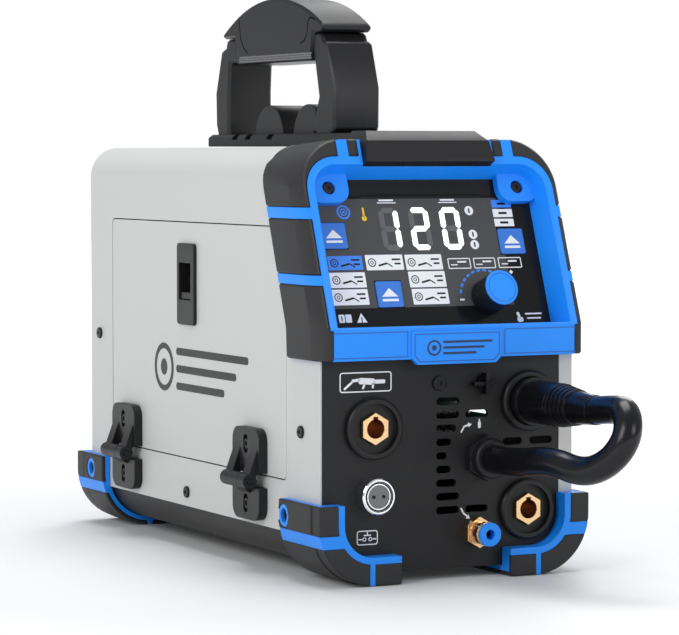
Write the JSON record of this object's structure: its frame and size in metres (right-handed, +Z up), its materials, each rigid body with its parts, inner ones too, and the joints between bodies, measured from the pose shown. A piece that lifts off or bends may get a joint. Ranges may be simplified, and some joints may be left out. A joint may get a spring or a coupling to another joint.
{
  "type": "mig welding machine",
  "caption": "Portable inverter wire-feed welder: sheet-metal case, leaning display hood, side door over the wire bay, carrying handle, corner bumpers and a plugged polarity lead.",
  "frame": {"origin": "on the floor, at the centre of the case footprint", "axes": "+Z up, -Y towards the front panel, -X towards the side door"},
  "size_m": [0.2142, 0.5685, 0.3948],
  "materials": {
    "cover_paint": "satin",
    "black_paint": "matte",
    "panel_plastic": "fine texture",
    "blue_plastic": "satin",
    "pad_rubber": "matte",
    "black_plastic": "fine texture",
    "display_gloss": "gloss",
    "key_blue": "gloss",
    "brass": "machined",
    "chrome": "polished",
    "steel": "zinc plated",
    "screw_black": "black oxide",
    "aluminium": "extruded",
    "circuit_board": "solder mask",
    "transformer_mix": "ferrite and tape",
    "lead_rubber": "satin",
    "red_plastic": "gloss",
    "spool_plastic": "gloss",
    "wire_steel": "wound wire"
  },
  "bodies": {
    "case": {"base_tray": "black_paint", "front_panel": "panel_plastic", "rear_panel": "black_paint", "main_cover": "cover_paint", "divider_plate": "black_paint", "hinge_case_leaves": "black_plastic", "hinge_pins": "steel", "hood_frame": "blue_plastic", "hood_pads": "pad_rubber", "hood_top_bar": "black_plastic", "display_bezel": "display_gloss", "display_board": "circuit_board", "encoder": "steel", "front_bumpers": "blue_plastic", "rear_bumpers": "blue_plastic", "bumper_pads": "pad_rubber", "case_screws": "screw_black", "handle_base": "black_plastic", "handle_frame": "black_plastic", "handle_grip_cover": "black_plastic", "panel_sockets": "black_plastic", "socket_inserts": "brass", "trigger_socket": "chrome", "trigger_insulator": "chrome", "gas_outlet": "brass", "lead_gland": "black_plastic", "polarity_lead": "lead_rubber", "lead_plug": "lead_rubber", "fan_housing": "black_plastic", "fan_guard": "steel", "power_switch": "black_plastic", "mains_gland": "black_plastic", "rear_gas_inlet": "brass", "heatsink": "aluminium", "inverter_board": "circuit_board", "transformer": "transformer_mix", "feeder_plate": "black_plastic", "wire_guides": "brass", "feeder_motor": "steel", "spool_hub": "black_plastic"},
    "door": {"door_panel": "cover_paint", "latch_housing": "black_plastic", "hinge_door_leaves": "black_plastic"},
    "latch": {"latch_slider": "black_plastic"},
    "feed_key": {"feed_key": "key_blue"},
    "process_key": {"process_key": "key_blue"},
    "trigger_key": {"trigger_key": "key_blue"},
    "encoder_shaft": {"encoder_shaft": "steel"},
    "knob": {"knob_body": "black_plastic", "knob_cap": "blue_plastic"},
    "gas_collar": {"gas_collar": "blue_plastic"},
    "fan_rotor": {"fan_rotor": "black_plastic"},
    "switch_rocker": {"switch_rocker": "red_plastic"},
    "drive_roll": {"drive_roll": "steel"},
    "pressure_arm": {"pressure_arm": "black_plastic"},
    "pressure_roll": {"pressure_roll": "steel"},
    "tension_knob": {"tension_knob": "black_plastic"},
    "spool": {"wire_spool": "spool_plastic", "spool_wire": "wire_steel"},
    "spool_nut": {"spool_nut": "black_plastic"}
  },
  "joints": [
    {"name": "door_hinge", "type": "hinge", "parent": "case", "child": "door", "pos_m": [-0.107, 0.012, 0.062], "axis": [0, -1, 0], "range_deg": [0, 90]},
    {"name": "latch_slide", "type": "slide", "parent": "door", "child": "latch", "axis": [0, 0, 1], "range_m": [0, 0.008], "stiffness_N_per_m": 250},
    {"name": "feed_key_press", "type": "slide", "parent": "case", "child": "feed_key", "axis": [0, 0.9367, -0.3502], "range_m": [0, 0.0008], "stiffness_N_per_m": 900},
    {"name": "process_key_press", "type": "slide", "parent": "case", "child": "process_key", "axis": [0, 0.9367, -0.3502], "range_m": [0, 0.0008], "stiffness_N_per_m": 900},
    {"name": "trigger_key_press", "type": "slide", "parent": "case", "child": "trigger_key", "axis": [0, 0.9367, -0.3502], "range_m": [0, 0.0008], "stiffness_N_per_m": 900},
    {"name": "knob_press", "type": "slide", "parent": "case", "child": "encoder_shaft", "axis": [0, 0.9367, -0.3502], "range_m": [0, 0.0006], "stiffness_N_per_m": 2500},
    {"name": "knob_turn", "type": "hinge", "parent": "encoder_shaft", "child": "knob", "pos_m": [0.0364, -0.1967, 0.19029], "axis": [0, -0.9367, 0.3502], "continuous": true},
    {"name": "gas_collar_press", "type": "slide", "parent": "case", "child": "gas_collar", "axis": [0, 1, 0], "range_m": [0, 0.0009], "stiffness_N_per_m": 1500},
    {"name": "fan_spin", "type": "hinge", "parent": "case", "child": "fan_rotor", "pos_m": [0.046, 0.18, 0.105], "axis": [0, 1, 0], "continuous": true},
    {"name": "rocker_tilt", "type": "hinge", "parent": "case", "child": "switch_rocker", "pos_m": [-0.045, 0.198, 0.238], "axis": [-1, 0, 0], "range_deg": [0, 16]},
    {"name": "drive_roll_spin", "type": "hinge", "parent": "case", "child": "drive_roll", "pos_m": [-0.0565, -0.12, 0.0895], "axis": [1, 0, 0], "continuous": true},
    {"name": "pressure_arm_lift", "type": "hinge", "parent": "case", "child": "pressure_arm", "pos_m": [-0.0478, -0.15, 0.1139], "axis": [1, 0, 0], "range_deg": [0, 60]},
    {"name": "pressure_roll_spin", "type": "hinge", "parent": "pressure_arm", "child": "pressure_roll", "pos_m": [-0.0565, -0.12, 0.1139], "axis": [1, 0, 0], "continuous": true},
    {"name": "tension_knob_turn", "type": "hinge", "parent": "pressure_arm", "child": "tension_knob", "pos_m": [-0.0495, -0.086, 0.132], "axis": [0, 0, 1], "continuous": true},
    {"name": "spool_spin", "type": "hinge", "parent": "case", "child": "spool", "pos_m": [-0.054, 0.085, 0.15], "axis": [1, 0, 0], "continuous": true},
    {"name": "spool_nut_turn", "type": "hinge", "parent": "case", "child": "spool_nut", "pos_m": [-0.08, 0.085, 0.15], "axis": [-1, 0, 0], "continuous": true}
  ]
}
